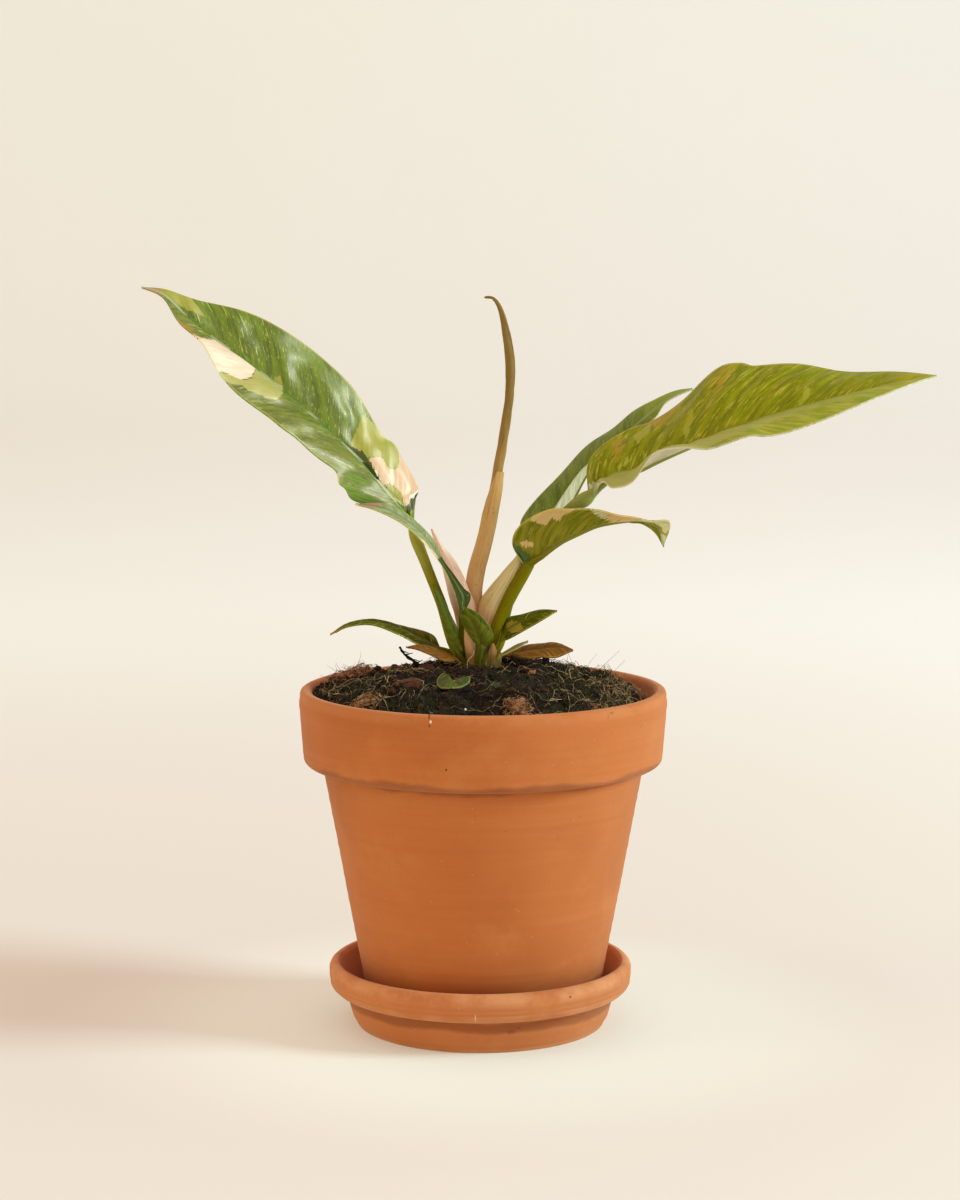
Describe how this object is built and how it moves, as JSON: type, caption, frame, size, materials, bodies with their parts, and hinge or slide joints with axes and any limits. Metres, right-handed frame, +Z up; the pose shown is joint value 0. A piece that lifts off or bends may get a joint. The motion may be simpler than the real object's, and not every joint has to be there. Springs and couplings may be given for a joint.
{
  "type": "potted philodendron",
  "caption": "Young variegated philodendron with long pointed leaves and a rolled new leaf, in soil in a terracotta pot on its saucer.",
  "frame": {"origin": "centre of the saucer's flat underside", "axes": "+Z up out of the pot; the plant's front, with the seedling on the soil, faces -Y; the long variegated leaf lies towards -X and the widest leaf towards +X"},
  "size_m": [0.2918, 0.14, 0.2814],
  "materials": {
    "saucer_terracotta": "matte",
    "pot_terracotta": "matte",
    "potting_soil": "matte",
    "stem_green": "satin",
    "leaf_variegated": "satin",
    "leaf_pale": "satin",
    "leaf_deep": "satin",
    "leaf_dry": "matte",
    "spike_olive": "satin",
    "sheath_tan": "satin",
    "sheath_cream": "satin",
    "bark": "matte",
    "twig": "matte"
  },
  "bodies": {
    "root": {"saucer": "saucer_terracotta", "pot": "pot_terracotta", "soil": "potting_soil", "stem": "stem_green", "leaf_left": "leaf_variegated", "leaf_strip": "leaf_pale", "leaf_right": "leaf_variegated", "leaf_back": "leaf_deep", "leaf_curl": "leaf_variegated", "leaf_front": "leaf_deep", "leaf_dark": "leaf_deep", "leaf_low_left": "leaf_deep", "leaf_low_right": "leaf_deep", "leaf_dead_left": "leaf_dry", "leaf_brown_right": "leaf_dry", "leaf_grey": "leaf_pale", "seedling": "leaf_pale", "spike": "spike_olive", "sheath_spike": "sheath_tan", "sheath_pink": "sheath_tan", "sheath_right": "sheath_cream", "sheath_front": "sheath_tan", "bark_left": "bark", "bark_rear": "bark", "bark_orange": "bark", "twig_left": "twig", "twig_right": "twig"}
  },
  "joints": []
}
